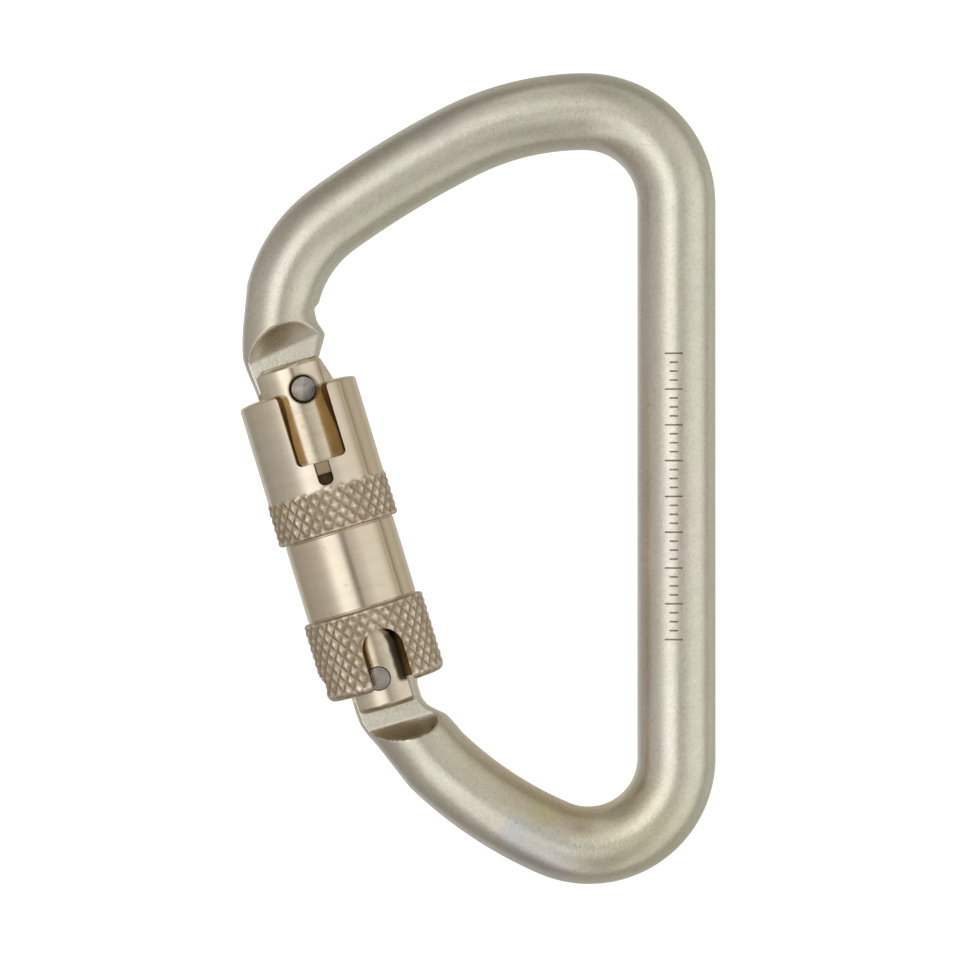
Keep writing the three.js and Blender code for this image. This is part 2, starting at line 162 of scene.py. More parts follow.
def recalculate(obj):
    work = bmesh.new()
    work.from_mesh(obj.data)
    bmesh.ops.recalc_face_normals(work, faces=work.faces)
    work.to_mesh(obj.data)
    work.free()


def grid_faces(rows, columns, close_rows=False):
    faces = []
    for r in range(rows if close_rows else rows - 1):
        s = (r + 1) % rows
        for c in range(columns):
            d = (c + 1) % columns
            faces.append((r * columns + c, r * columns + d, s * columns + d, s * columns + c))
    return faces


def lathe(name, profile, segments=96, axis="z", centre=(0, 0), matrix=GATE):
    """A solid turned from (radius, height) pairs about the gate's axis, or about a line
    along Y through centre. The profile starts and ends on the axis, or closes on itself."""
    closed = profile[0][0] > 0
    rings = profile if closed else profile[1:-1]
    points = []
    for radius, height in rings:
        for i in range(segments):
            a = 2 * math.pi * i / segments
            u, v = radius * math.cos(a), radius * math.sin(a)
            points.append((u, v, height) if axis == "z" else (centre[0] + u, height, centre[1] + v))
    faces = grid_faces(len(rings), segments, closed)
    if not closed:
        for height, ring in ((profile[0][1], 0), (profile[-1][1], len(rings) - 1)):
            tip = len(points)
            points.append((0, 0, height) if axis == "z" else (centre[0], height, centre[1]))
            start = ring * segments
            faces += [(tip, start + i, start + (i + 1) % segments) for i in range(segments)]
    return new_mesh(name, points, faces, matrix)


def drill(radius, centre, y0, y1, segments=64):
    profile = [(0, y0), (radius, y0), (radius, y1), (0, y1)]
    return lathe("drill", profile, segments, "y", centre)


def plate(name, outline, y0, y1, bevel=0.0, matrix=GATE):
    """An outline in x and z, thickened along y, with its edges broken by bevel."""
    n = len(outline)
    points = [(x, y0, z) for x, z in outline] + [(x, y1, z) for x, z in outline]
    faces = [tuple(range(n)), tuple(range(2 * n - 1, n - 1, -1))]
    faces += [(i, (i + 1) % n, n + (i + 1) % n, n + i) for i in range(n)]
    obj = new_mesh(name, points, faces, matrix)
    if bevel:
        work = bmesh.new()
        work.from_mesh(obj.data)
        rim = [e for e in work.edges if abs(e.verts[0].co.y - e.verts[1].co.y) < 1e-7]
        bmesh.ops.bevel(work, geom=rim, offset=bevel * MM, segments=2, affect="EDGES",
                        clamp_overlap=True)
        work.to_mesh(obj.data)
        work.free()
        recalculate(obj)
    return obj


def arc(cx, cz, radius, start, end, steps=8):
    """Points round a centre, from start to end degrees."""
    angles = [math.radians(start + (end - start) * i / steps) for i in range(steps + 1)]
    return [(cx + radius * math.cos(a), cz + radius * math.sin(a)) for a in angles]


def band(name, inner, outer, low, high):
    """A square-edged ring round the gate's axis."""
    return lathe(name, [(inner, low), (outer, low), (outer, high), (inner, high)], 96)


def block(x0, x1, y0, y1, z0, z1):
    return plate("block", [(x0, z0), (x1, z0), (x1, z1), (x0, z1)], y0, y1)


def boolean(obj, others, operation):
    for other in others:
        step = obj.modifiers.new("cut", "BOOLEAN")
        step.operation = operation
        step.solver = "MANIFOLD"
        step.object = other
        apply_modifiers(obj)
        bpy.data.objects.remove(other)
    return obj


def apply_modifiers(obj):
    bpy.context.view_layer.update()
    done = bpy.data.meshes.new_from_object(
        obj.evaluated_get(bpy.context.evaluated_depsgraph_get()))
    obj.modifiers.clear()
    obj.data = done


def break_edges(obj, width, angle=40, segments=2):
    """Rounds the edges sharper than angle, in degrees, by width, in millimetres."""
    bpy.context.view_layer.update()
    weld = obj.modifiers.new("weld", "WELD")
    weld.merge_threshold = 0.004 * MM
    dissolve = obj.modifiers.new("dissolve", "DECIMATE")
    dissolve.decimate_type = "DISSOLVE"
    dissolve.angle_limit = math.radians(0.4)
    bevel = obj.modifiers.new("bevel", "BEVEL")
    bevel.width = width * MM
    bevel.segments = segments
    bevel.limit_method = "ANGLE"
    bevel.angle_limit = math.radians(angle)
    bevel.use_clamp_overlap = True
    apply_modifiers(obj)


def round_normals(obj, radius):
    """Gives the faces of the turned outside, of this radius, the normals of a true cylinder."""
    mesh = obj.data
    normals = [corner.vector.copy() for corner in mesh.corner_normals]
    for face in mesh.polygons:
        if face.normal.dot(Vector((face.center.x, face.center.y, 0)).normalized()) < 0.995:
            continue
        for corner in face.loop_indices:
            x, y, _ = mesh.vertices[mesh.loops[corner].vertex_index].co
            if abs(math.hypot(x, y) - radius * MM) < 0.02 * MM:
                normals[corner] = Vector((x, y, 0)).normalized()
    mesh.normals_split_custom_set(normals)


def finish_piece(obj, body, material, nodes, smooth=38):
    obj.data.shade_smooth()
    obj.data.set_sharp_from_angle(angle=math.radians(smooth))
    obj.data.materials.clear()
    obj.data.materials.append(material)
    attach(obj, body)
    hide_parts(*nodes)


# ---- Procedural finishes ---------------------------------------------------------------
def math_node(tree, operation, a, b=0.0):
    """The result of a sum on two numbers or sockets."""
    node = tree.nodes.new("ShaderNodeMath")
    node.operation = operation
    for socket, value in zip(node.inputs, (a, b)):
        if isinstance(value, (int, float)):
            socket.default_value = value
        else:
            tree.links.new(value, socket)
    return node.outputs["Value"]


class Paint:
    """A small helper that adds and links the nodes of one material."""

    def __init__(self, name):
        self.material = bpy.data.materials.new(name)
        self.material.use_nodes = True
        self.nodes = self.material.node_tree.nodes
        self.links = self.material.node_tree.links
        self.shader = self.nodes["Principled BSDF"]
        self.place = self.add("ShaderNodeTexCoord").outputs["Object"]
        self.height = None

    def add(self, kind, **settings):
        node = self.nodes.new(kind)
        for key, value in settings.items():
            setattr(node, key, value)
        return node

    def link(self, source, target):
        self.links.new(source, target)

    def stretch(self, scale, place=None):
        node = self.add("ShaderNodeMapping")
        self.link(place or self.place, node.inputs["Vector"])
        node.inputs["Scale"].default_value = scale
        return node.outputs["Vector"]

    def noise(self, scale, detail=3.0, rough=0.5, place=None, distortion=0.0):
        node = self.add("ShaderNodeTexNoise")
        self.link(place or self.place, node.inputs["Vector"])
        node.inputs["Scale"].default_value = scale
        node.inputs["Detail"].default_value = detail
        node.inputs["Roughness"].default_value = rough
        node.inputs["Distortion"].default_value = distortion
        return node.outputs["Fac"]

    def ramp(self, value, stops):
        node = self.add("ShaderNodeValToRGB")
        self.link(value, node.inputs["Fac"])
        ramp = node.color_ramp
        while len(ramp.elements) < len(stops):
            ramp.elements.new(0.5)
        for element, (position, colour) in zip(ramp.elements, stops):
            element.position = position
            element.color = (*colour, 1)
        return node.outputs["Color"]

    def span(self, value, low, high, start=0.0, end=1.0):
        node = self.add("ShaderNodeMapRange")
        self.link(value, node.inputs["Value"])
        for key, number in (("From Min", low), ("From Max", high),
                            ("To Min", start), ("To Max", end)):
            node.inputs[key].default_value = number
        return node.outputs["Result"]

    def math(self, operation, a, b):
        return math_node(self.material.node_tree, operation, a, b)

    def mix(self, factor, a, b, blend="MIX"):
        node = self.add("ShaderNodeMix", data_type="RGBA", blend_type=blend)
        inputs = [node.inputs[0], node.inputs[6], node.inputs[7]]
        for socket, value in zip(inputs, (factor, a, b)):
            if isinstance(value, (int, float)):
                socket.default_value = value
            elif isinstance(value, tuple):
                socket.default_value = (*value, 1)
            else:
                self.link(value, socket)
        return node.outputs[2]

    def bump(self, value, distance, strength=1.0):
        """Adds a layer of relief; distance is its height in millimetres."""
        node = self.add("ShaderNodeBump")
        self.link(value, node.inputs["Height"])
        node.inputs["Distance"].default_value = distance * MM
        node.inputs["Strength"].default_value = strength
        if self.height:
            self.link(self.height, node.inputs["Normal"])
        self.height = node.outputs["Normal"]

    def soften(self, radius):
        """Rounds the look of the edges by radius, in millimetres."""
        node = self.add("ShaderNodeBevel")
        node.samples = 4
        node.inputs["Radius"].default_value = radius * MM
        self.height = node.outputs["Normal"]

    def axes(self, vector=None):
        """The x, y and z of a vector, or of the piece's own coordinates."""
        split = self.add("ShaderNodeSeparateXYZ")
        self.link(vector or self.place, split.inputs["Vector"])
        return tuple(split.outputs[axis] for axis in "XYZ")

    def facing(self):
        """The x, y and z of the way the surface faces."""
        return self.axes(self.add("ShaderNodeNewGeometry").outputs["Normal"])

    def length(self, a, b):
        squared = self.math("ADD", self.math("MULTIPLY", a, a), self.math("MULTIPLY", b, b))
        return self.math("POWER", squared, 0.5)

    def distance(self, point):
        """Distance from a point given in millimetres."""
        node = self.add("ShaderNodeVectorMath", operation="DISTANCE")
        self.link(self.place, node.inputs[0])
        node.inputs[1].default_value = [c * MM for c in point]
        return node.outputs["Value"]

    def done(self, colour, roughness, metallic=1.0):
        self.link(colour, self.shader.inputs["Base Color"])
        self.link(roughness, self.shader.inputs["Roughness"])
        self.shader.inputs["Metallic"].default_value = metallic
        if self.height:
            self.link(self.height, self.shader.inputs["Normal"])
        return self.material


# Heat-tinted patches on the body, and a last lilac patch of painted shade on the bottom bend:
# (centre, size, strength, colour)
TINT_AND_SHADE_PATCHES = [((-7.2, -5.6, -101.4), 3.6, 0.5, (0.80, 0.78, 0.36)),
                ((-11.6, -5.6, -104.6), 3.8, 0.45, (0.62, 0.70, 0.84)),
                ((-24.0, -5.6, 3.0), 5.0, 0.35, (0.72, 0.68, 0.72)),
                ((-46.9, -3.5, -30.5), 9.5, 0.6, (0.76, 0.70, 0.595)),
                ((-27.6, -3.5, -88.5), 9.0, 0.5, (0.76, 0.71, 0.61)),
                ((7.0, -5.0, -103.5), 11.0, 0.6, (0.86, 0.825, 0.60)),
                # Painted shade, not a tint: darkens the bottom bend
                ((-8.5, -4.5, -108.8), 8.0, 0.6, (0.735, 0.71, 0.71))]


def body_finish_and_painted_light():
    """Blasted and passivated steel: champagne grey with faint rainbow patches, and painted
    reflection tints that follow which way the surface faces in the scene.
    """
    p = Paint("body_finish_and_painted_light")
    patches = p.noise(38, 2.0, 0.5, distortion=0.6)
    colour = p.ramp(patches, [(0.3, (0.86, 0.80, 0.71)), (0.45, (0.86, 0.825, 0.71)),
                              (0.56, (0.845, 0.835, 0.70)), (0.68, (0.86, 0.805, 0.75))])
    # Painted reflection tints: lilac where the surface faces left and down, green where it faces
    # right, tan where it faces up near the bottom
    facing_x, _, facing_z = p.facing()
    leaning = p.math("SUBTRACT", p.math("MULTIPLY", facing_x, -1.0),
                     p.math("MULTIPLY", facing_z, 0.3))
    lilac_reflection_tint = p.math("MULTIPLY", p.span(leaning, 0.25, 0.85), 0.7)
    colour = p.mix(lilac_reflection_tint, colour, (0.86, 0.80, 0.775))
    green_reflection_tint = p.math("MULTIPLY", p.span(facing_x, 0.1, 0.7), 0.6)
    colour = p.mix(green_reflection_tint, colour, (0.845, 0.87, 0.71))
    low = p.span(p.axes()[2], -78 * MM, -96 * MM)
    tan_with_painted_light = p.math("MULTIPLY", low, p.span(facing_z, 0.1, 0.8))
    colour = p.mix(p.math("MULTIPLY", tan_with_painted_light, 0.75), colour, (0.80, 0.66, 0.44))
    ragged = p.noise(500, 3.0, 0.6)
    for place, size, strength, tint in TINT_AND_SHADE_PATCHES:
        patch = p.span(p.math("ADD", p.distance(place), p.math("MULTIPLY", ragged, 1.2 * MM)),
                       size * MM, 0.5 * size * MM)
        colour = p.mix(p.math("MULTIPLY", patch, strength), colour, tint)
    grain = p.ramp(p.noise(2300, 2.0, 0.5), [(0.35, (0.91, 0.905, 0.9)), (0.65, (1, 1, 1))])
    colour = p.mix(1.0, colour, grain, "MULTIPLY")
    cloud = p.noise(420, 4.0, 0.6)
    colour = p.mix(1.0, colour, p.ramp(cloud, [(0.3, (0.93, 0.925, 0.915)), (0.7, (1, 1, 1))]),
                   "MULTIPLY")
    specks = p.ramp(p.noise(2600, 3.0, 0.7), [(0.28, (0.7, 0.66, 0.6)), (0.42, (1, 1, 1))])
    colour = p.mix(0.8, colour, specks, "MULTIPLY")
    scuffs = p.noise(90, 5.0, 0.65)
    roughness = p.span(scuffs, 0.3, 0.7, 0.25, 0.34)
    p.bump(p.noise(300, 2.0, 0.5), 0.022, 0.6)
    p.bump(p.noise(3000, 2.0, 0.6), 0.03, 0.8)
    return p.done(colour, roughness)


def knurl_bands(p):
    """(1 on the knurled bands and 0 elsewhere, distance from the gate's axis)."""
    x, y, z = p.axes()
    low = p.span(z, 10.8 * MM, 10.9 * MM, 1, 0)
    high = p.math("MULTIPLY", p.span(z, 23.2 * MM, 23.3 * MM), p.span(z, 29.6 * MM, 30 * MM, 1, 0))
    return p.math("ADD", low, high), p.length(x, y)


def sleeve_finish_and_painted_light():
    """Turned sleeve: warm beige with faint pink and blue patches, a painted reflection tint
    where it faces right, and browner on the knurl, with painted shade down its grooves.
    """
    p = Paint("sleeve_finish_and_painted_light")
    grooves = p.noise(60, 3.0, 0.6, place=p.stretch((1, 1, 16)))
    patches = p.noise(60, 2.0, 0.5, distortion=0.5)
    colour = p.ramp(patches, [(0.3, (0.80, 0.68, 0.56)), (0.42, (0.80, 0.705, 0.56)),
                              (0.55, (0.79, 0.71, 0.59)), (0.7, (0.78, 0.70, 0.63))])
    colour = p.mix(0.4, colour, p.ramp(grooves, [(0.35, (0.9, 0.88, 0.86)), (0.6, (1, 1, 1))]),
                   "MULTIPLY")
    stains = p.ramp(p.noise(900, 4.0, 0.7), [(0.27, (0.6, 0.5, 0.42)), (0.36, (1, 1, 1))])
    colour = p.mix(0.6, colour, stains, "MULTIPLY")
    # Painted reflection tint: warmer where the surface faces right in the scene
    warm = p.math("MULTIPLY", p.span(p.facing()[0], 0.45, 0.8), 0.7)
    colour = p.mix(warm, colour, (0.77, 0.64, 0.44))
    bands, radius = knurl_bands(p)
    # The knurl's own browner tone, with painted shade down its grooves, lightest on its crests
    depth = p.span(radius, 9.16 * MM, 9.42 * MM)
    tan_with_painted_light = p.ramp(depth, [(0.0, (0.54, 0.43, 0.30)), (0.5, (0.68, 0.57, 0.43)),
                         (0.85, (0.74, 0.64, 0.51)), (1.0, (0.92, 0.86, 0.78))])
    tan_with_painted_light = p.mix(0.8, tan_with_painted_light, p.ramp(p.noise(1500, 3.0, 0.6), [(0.3, (0.7, 0.66, 0.6)),
                                                          (0.6, (1, 1, 1))]), "MULTIPLY")
    colour = p.mix(bands, colour, tan_with_painted_light)
    smooth = p.span(p.noise(160, 4.0, 0.6), 0.3, 0.7, 0.13, 0.18)
    roughness = p.math("ADD", smooth, p.math("MULTIPLY", bands, 0.16))
    p.soften(0.1)
    p.bump(grooves, 0.008, 0.25)
    p.bump(p.noise(520, 2.0, 0.5), 0.008, 0.35)
    p.bump(p.math("MULTIPLY", p.noise(2200, 3.0, 0.6), bands), 0.02, 0.6)
    return p.done(colour, roughness)


def bore_finish_and_painted_shade():
    """Inside of the sleeve and the walls of its slots: amber where light reaches, and near
    black painted shade on the inner wall of the foot's slot."""
    p = Paint("bore_finish_and_painted_shade")
    x, y, z = p.axes()
    # Painted shade: near black low on the inner front side, where light doesn't reach
    lit = p.math("MAXIMUM", p.span(z, 8 * MM, 22 * MM), p.span(x, 1 * MM, -1 * MM))
    lit = p.math("MAXIMUM", lit, p.span(y, -5.4 * MM, -4.4 * MM))
    amber = p.ramp(p.noise(300, 4.0, 0.6), [(0.3, (0.52, 0.35, 0.14)), (0.7, (0.66, 0.47, 0.21))])
    dark = p.ramp(p.noise(500, 4.0, 0.6), [(0.3, (0.04, 0.03, 0.016)),
                                           (0.7, (0.09, 0.065, 0.036))])
    roughness = p.span(p.noise(200, 3.0), 0.3, 0.7, 0.35, 0.5)
    p.bump(p.noise(60, 3.0, place=p.stretch((1, 1, 20))), 0.01, 0.5)
    return p.done(p.mix(lit, dark, amber), roughness, 0.45)


def turned_finish(name, tones, low, high, lines, edge=0.1, marks=0.6, painted_shade_places=(),
                  rough_below=0.0):
    """Turned steel, with fine lines round the gate's axis; tones are dark to light. A painted
    shade place, where the colour is darkened as painted shade, is (where it starts, where it
    is full, point): heights if the point is None, and distances from that point in x and z
    if not. rough_below is how much rougher the metal is below the sleeve's rim."""
    p = Paint(name)
    around = p.stretch((1, 1, lines))
    grooves = p.noise(60, 3.0, 0.6, place=around)
    patches = p.noise(70, 3.0, 0.55)
    stops = [(0.25 + 0.5 * i / (len(tones) - 1), tone) for i, tone in enumerate(tones)]
    colour = p.ramp(patches, stops)
    colour = p.mix(0.7, colour, p.ramp(grooves, [(0.35, (0.88, 0.86, 0.84)), (0.6, (1, 1, 1))]),
                   "MULTIPLY")
    stains = p.ramp(p.noise(900, 4.0, 0.7), [(0.3, (0.72, 0.66, 0.58)), (0.42, (1, 1, 1))])
    colour = p.mix(0.6, colour, stains, "MULTIPLY")
    x, _, z = p.axes()
    for clear, full, point in painted_shade_places:
        where = z
        if point:
            where = p.length(p.math("SUBTRACT", x, point[0] * MM),
                             p.math("SUBTRACT", z, point[1] * MM))
        # Painted shade at each of these places
        dark = p.math("MULTIPLY", p.span(where, clear * MM, full * MM), 0.8)
        colour = p.mix(dark, colour, (0.30, 0.23, 0.15))
    roughness = p.math("ADD", p.span(p.noise(160, 4.0, 0.6), 0.3, 0.7, low, high),
                       p.span(z, RIM * MM, (RIM - 3) * MM, 0, rough_below))
    p.soften(edge)
    p.bump(grooves, 0.008, marks)
    p.bump(p.noise(520, 2.0, 0.5), 0.01, 0.4)
    return p.done(colour, roughness)


def rivet_finish_and_shade(name, centre, tone, shade_strength):
    """Bare steel rivet with the rings its forming left round its centre, and painted shade
    towards its lower inner side."""
    p = Paint(name)
    x, _, z = p.axes()
    across = p.math("SUBTRACT", x, centre[0] * MM)
    along = p.math("SUBTRACT", z, centre[1] * MM)
    radius = p.length(across, along)
    wobble = p.math("MULTIPLY", p.noise(300, 2.0), 0.00018)
    rings = p.math("SINE", p.math("MULTIPLY", p.math("ADD", radius, wobble), 19000.0), 0.0)
    colour = p.ramp(p.noise(700, 4.0, 0.65),
                    [(0.3, tuple(0.72 * c for c in tone)), (0.6, tone)])
    # Painted shade, darker towards the lower inner side
    shade = p.span(p.math("SUBTRACT", across, along), -1.2 * MM, 1.9 * MM, 0.0, 1.0)
    colour = p.mix(p.math("MULTIPLY", shade, shade_strength), colour, (0.16, 0.15, 0.145))
    roughness = p.span(p.noise(500, 3.0), 0.3, 0.7, 0.26, 0.38)
    p.bump(p.span(rings, -1, 1), 0.03, 0.75)
    p.bump(p.noise(1800, 3.0, 0.6), 0.008, 0.5)
    return p.done(colour, roughness)


def stamp_finish():
    """Darker metal in the stamped bars."""
    p = Paint("stamp_finish")
    colour = p.ramp(p.noise(1500, 3.0, 0.6), [(0.3, (0.24, 0.18, 0.12)), (0.7, (0.42, 0.34, 0.25))])
    p.bump(p.noise(3000, 2.0, 0.6), 0.02, 0.6)
    return p.done(colour, p.span(p.noise(600, 3.0), 0.3, 0.7, 0.4, 0.55))


FINISH = {
    "stamp": stamp_finish(),
    "body": body_finish_and_painted_light(),
    "sleeve": sleeve_finish_and_painted_light(),
    "bore": bore_finish_and_painted_shade(),
    "gate": turned_finish("gate_finish_and_shade", [(0.80, 0.69, 0.53), (0.83, 0.735, 0.575),
                                          (0.84, 0.765, 0.64)], 0.08, 0.12, 9, 0.1, 0.3,
                          # Painted shade along the foot, along the top edge and in a ring round the
                          # nose pin's gap
                          [(-4.05, -4.25, None), (GATE_TOP - 0.25, GATE_TOP - 0.05, None),
                           (2.5, 2.3, NOSE_PIN)], 0.13),
    "spring": turned_finish("spring_finish", [(0.4, 0.39, 0.38), (0.5, 0.49, 0.48)],
                            0.25, 0.35, 1, 0.04),
    "bush": turned_finish("bush_finish", [(0.38, 0.28, 0.18), (0.52, 0.4, 0.27)],
                          0.3, 0.45, 5, 0.1),
    # The collar is coloured near black as painted shade in the hole below the key
    "collar": turned_finish("collar_painted_shade", [(0.1, 0.07, 0.045), (0.16, 0.11, 0.07)],
                            0.4, 0.55, 5, 0.1),
    "nose_rivet": rivet_finish_and_shade("nose_rivet_finish_and_shade", NOSE_PIN, (0.72, 0.69, 0.67), 0.85),
    "hinge_rivet": rivet_finish_and_shade("hinge_rivet_finish_and_shade", HINGE, (0.46, 0.41, 0.375), 0.1),
}


# ---- Body ------------------------------------------------------------------------------
def follow_bends(x, z, heading, bends, side):
    """Stations (x, z, heading) along successive bends; side is 1 for anticlockwise."""
    out = []
    for radius, degrees in bends:
        angle = math.radians(degrees)
        cx, cz = x - side * radius * math.sin(heading), z + side * radius * math.cos(heading)
        count = max(2, round(angle * (radius + SPINE_R) / STATION_STEP))
        for i in range(1, count + 1):
            h = heading + side * angle * i / count
            x, z = cx + side * radius * math.sin(h), cz - side * radius * math.cos(h)
            out.append((x, z, h))
        heading += side * angle
    return out


def in_gate(x, z):
    p = GATE.inverted() @ Vector((x * MM, 0, z * MM))
    return p.x / MM, p.z / MM


def bar_sections():
    """Sections of the whole bar from the nose to the tang, as pairs of gate-frame points on
    its two silhouettes, with the bar's radius and which end the section belongs to."""
    wide = follow_bends(SPINE_X, SPINE_TOP, math.pi / 2, WIDE_BOW, 1)[::-1]
    narrow = follow_bends(SPINE_X, SPINE_BOTTOM, -math.pi / 2, NARROW_BOW, -1)
    spine = [(SPINE_X, SPINE_TOP + (SPINE_BOTTOM - SPINE_TOP) * i / 60, -math.pi / 2)
             for i in range(61)]
    wide = [(x, z, h + math.pi) for x, z, h in wide]
    sections = dense_sides(NOSE_SIDES, NOSE_R, "nose")
    stations = wide + spine + narrow
    lengths = np.cumsum([0] + [math.dist(a[:2], b[:2]) for a, b in zip(stations, stations[1:])])
    nose_end = lengths[len(wide)]
    tang_start = lengths[len(wide) + len(spine)]
    for (x, z, h), s in zip(stations, lengths):
        radius = np.interp(s, [0, 30, nose_end, tang_start, lengths[-1]],
                           [NOSE_R, 5.74, SPINE_R, SPINE_R, TANG_R])
        inward = (radius * math.sin(h), -radius * math.cos(h))
        outer = in_gate(x - inward[0], z - inward[1])
        inner = in_gate(x + inward[0], z + inward[1])
        end = "nose" if s < MILLED else "tang" if s > lengths[-1] - MILLED else ""
        if end == "nose" and min(outer[1], inner[1]) < NOSE_SIDES[-1][0] + 0.7:
            continue
        if end == "tang" and max(outer[1], inner[1]) > TANG_SIDES[0][0] - 0.7:
            continue
        sections.append((outer, inner, radius, end))
    return sections + dense_sides(TANG_SIDES, TANG_R, "tang")


def dense_sides(sides, radius, end):
    """Level sections every 0.2 mm between the given sides."""
    heights = [s[0] for s in sides]
    count = round((heights[-1] - heights[0]) / 0.2)
    levels = np.linspace(heights[0], heights[-1], count + 1)
    left = smooth_through(heights, [s[1] for s in sides], levels)
    right = smooth_through(heights, [s[2] for s in sides], levels)
    return [((a, z), (b, z), radius, end) for a, b, z in zip(left, right, levels)]


def smooth_through(xs, ys, at):
    """A smooth curve through the points, which doesn't swing past them."""
    xs, ys = np.array(xs, float), np.array(ys, float)
    step = np.diff(ys) / np.diff(xs)
    slope = np.zeros(len(xs))
    slope[0], slope[-1] = step[0], step[-1]
    for i in range(1, len(xs) - 1):
        if step[i - 1] * step[i] > 0:
            slope[i] = 2 * step[i - 1] * step[i] / (step[i - 1] + step[i])
    out = []
    for x in at:
        i = int(np.clip(np.searchsorted(xs, x) - 1, 0, len(xs) - 2))
        h = xs[i + 1] - xs[i]
        t = (x - xs[i]) / h
        out.append((2 * t**3 - 3 * t**2 + 1) * ys[i] + (t**3 - 2 * t**2 + t) * h * slope[i]
                   + (3 * t**2 - 2 * t**3) * ys[i + 1] + (t**3 - t**2) * h * slope[i + 1])
    return out


def flat_limit(end, x, z):
    """How far from the middle the milled flats leave the metal at this end of the bar."""
    if end == "nose":
        past = z - NOSE_CREASE - NOSE_CREASE_SLOPE * x
        a, b = NOSE_SCOOP
    else:
        past = TANG_CREASE + TANG_CREASE_SLOPE * x - z
        a, b = TANG_SCOOP
    past = max(0.0, past)
    limit = BLADE_HALF + a * past + b * past * past
    if end == "nose":
        limit = min(limit, FOOT_EDGE + FOOT_TAPER * (z - NOSE_SIDES[0][0]))
    return limit


def soft_min(a, b, width):
    """The smaller of two lengths, with the corner between them rounded."""
    gap = max(0.0, width - abs(a - b)) / width
    return min(a, b) - width * gap * gap / 4


def bar_mesh(segments=120):
    points = []
    sections = bar_sections()
    for (ax, az), (bx, bz), radius, end in sections:
        for i in range(segments):
            a = 2 * math.pi * i / segments
            t = 0.5 - 0.5 * math.cos(a)
            x, z = ax + (bx - ax) * t, az + (bz - az) * t
            y = radius * math.sin(a)
            if end:
                y = math.copysign(soft_min(abs(y), flat_limit(end, x, z), CREASE_SOFTNESS), y)
            points.append((x, y, z))
    faces = grid_faces(len(sections), segments)
    last = (len(sections) - 1) * segments
    faces.append(tuple(range(segments)))
    faces.append(tuple(last + i for i in range(segments)))
    return new_mesh("body_bar", points, faces, GATE)


def hook_outline():
    px, pz = NOSE_PIN
    return ([(-3.2, 50), (-3.2, 43.6)] + arc(-2.2, 43.4, 1, 180, 270)[1:]
            + arc(3.5, 43.4, 1.1, 270, 360) + [(4.6, 43.8)]
            + arc(px, pz, NOTCH_R, 270, 90, 12) + [(px, 50)])


def mouth_outline():
    """The nose pin's way out of its notch as the gate opens, with room above and below."""
    dx, dz = NOSE_PIN[0] - HINGE[0], NOSE_PIN[1] - HINGE[1]
    way = [(HINGE[0] + dx * math.cos(a) + dz * math.sin(a),
            HINGE[1] + dz * math.cos(a) - dx * math.sin(a))
           for a in (math.radians(i / 2) for i in range(2 * MOUTH_SWING + 1))]
    return ([(x, z + MOUTH_HALF) for x, z in way]
            + [(x, z - MOUTH_HALF) for x, z in reversed(way)])


def tang_outline():
    cam = []
    for i in range(11):
        a = CAM_END * i / 10
        r = CAM_R + CAM_RISE * a
        cam.append((HINGE[0] + r * math.sin(a), r * math.cos(a)))
    left = [(-5.5, -1.85), (-5.35, 0), (-4.75, 1.75), (-3.7, 3.1), (-2.2, 4.0)]
    return left + cam + [(4.95, 2), (4.95, -2), (-5.5, -3)]


def stamp():
    """Cutter for the row of bars: every fourth is long."""
    points, faces, steps = [], [], 8
    for i in range(STAMP_COUNT):
        z = STAMP_TOP - i * STAMP_PITCH
        half = (STAMP_SHORT if i % 4 else STAMP_LONG) / 2
        first = len(points)
        for x in np.linspace(STAMP_X - half, STAMP_X + half, steps + 1):
            a = math.asin((x - SPINE_X) / SPINE_R)
            for r, up in ((-STAMP_DEPTH, -1), (1, -1), (1, 1), (-STAMP_DEPTH, 1)):
                points.append((SPINE_X + (SPINE_R + r) * math.sin(a),
                               -(SPINE_R + r) * math.cos(a), z + up * STAMP_WIDTH / 2))
        for step in range(steps):
            near = first + 4 * step
            faces += [(near + k, near + (k + 1) % 4, near + 4 + (k + 1) % 4, near + 4 + k)
                      for k in range(4)]
        last = first + 4 * steps
        faces += [tuple(range(first, first + 4)), tuple(range(last, last + 4))]
    return new_mesh("stamp", points, faces)


def make_body():
    """The bar with its milled nose and tang, the hook below the nose, the cam and the stamp."""
    body = bar_mesh()
    thin = BLADE_HALF - 0.03
    parts = [plate("hook", hook_outline(), -HOOK_HALF, HOOK_HALF, 0.25),
             plate("cam", tang_outline(), -thin, thin, 0.3)]
    boolean(body, parts, "UNION")
    boolean(body, [drill(NOTCH_R, NOSE_PIN, -9, 9), plate("mouth", mouth_outline(), -9, 9),
                   drill(HINGE_HOLE, HINGE, -9, 9), stamp()], "DIFFERENCE")
    body.name = "steel_body"
    body.data.transform(GATE)
    body.matrix_world = ROW
    finish_piece(body, "frame", FINISH["body"], ["body"], 30)
    body.data.materials.append(FINISH["stamp"])
    for face in body.data.polygons:
        x, y, z = (c / MM for c in face.center)
        in_row = STAMP_TOP + 1 > z > STAMP_TOP - 1 - STAMP_COUNT * STAMP_PITCH
        if in_row and math.hypot(x - SPINE_X, y) < SPINE_R - 0.03:
            face.material_index = 1


make_body()


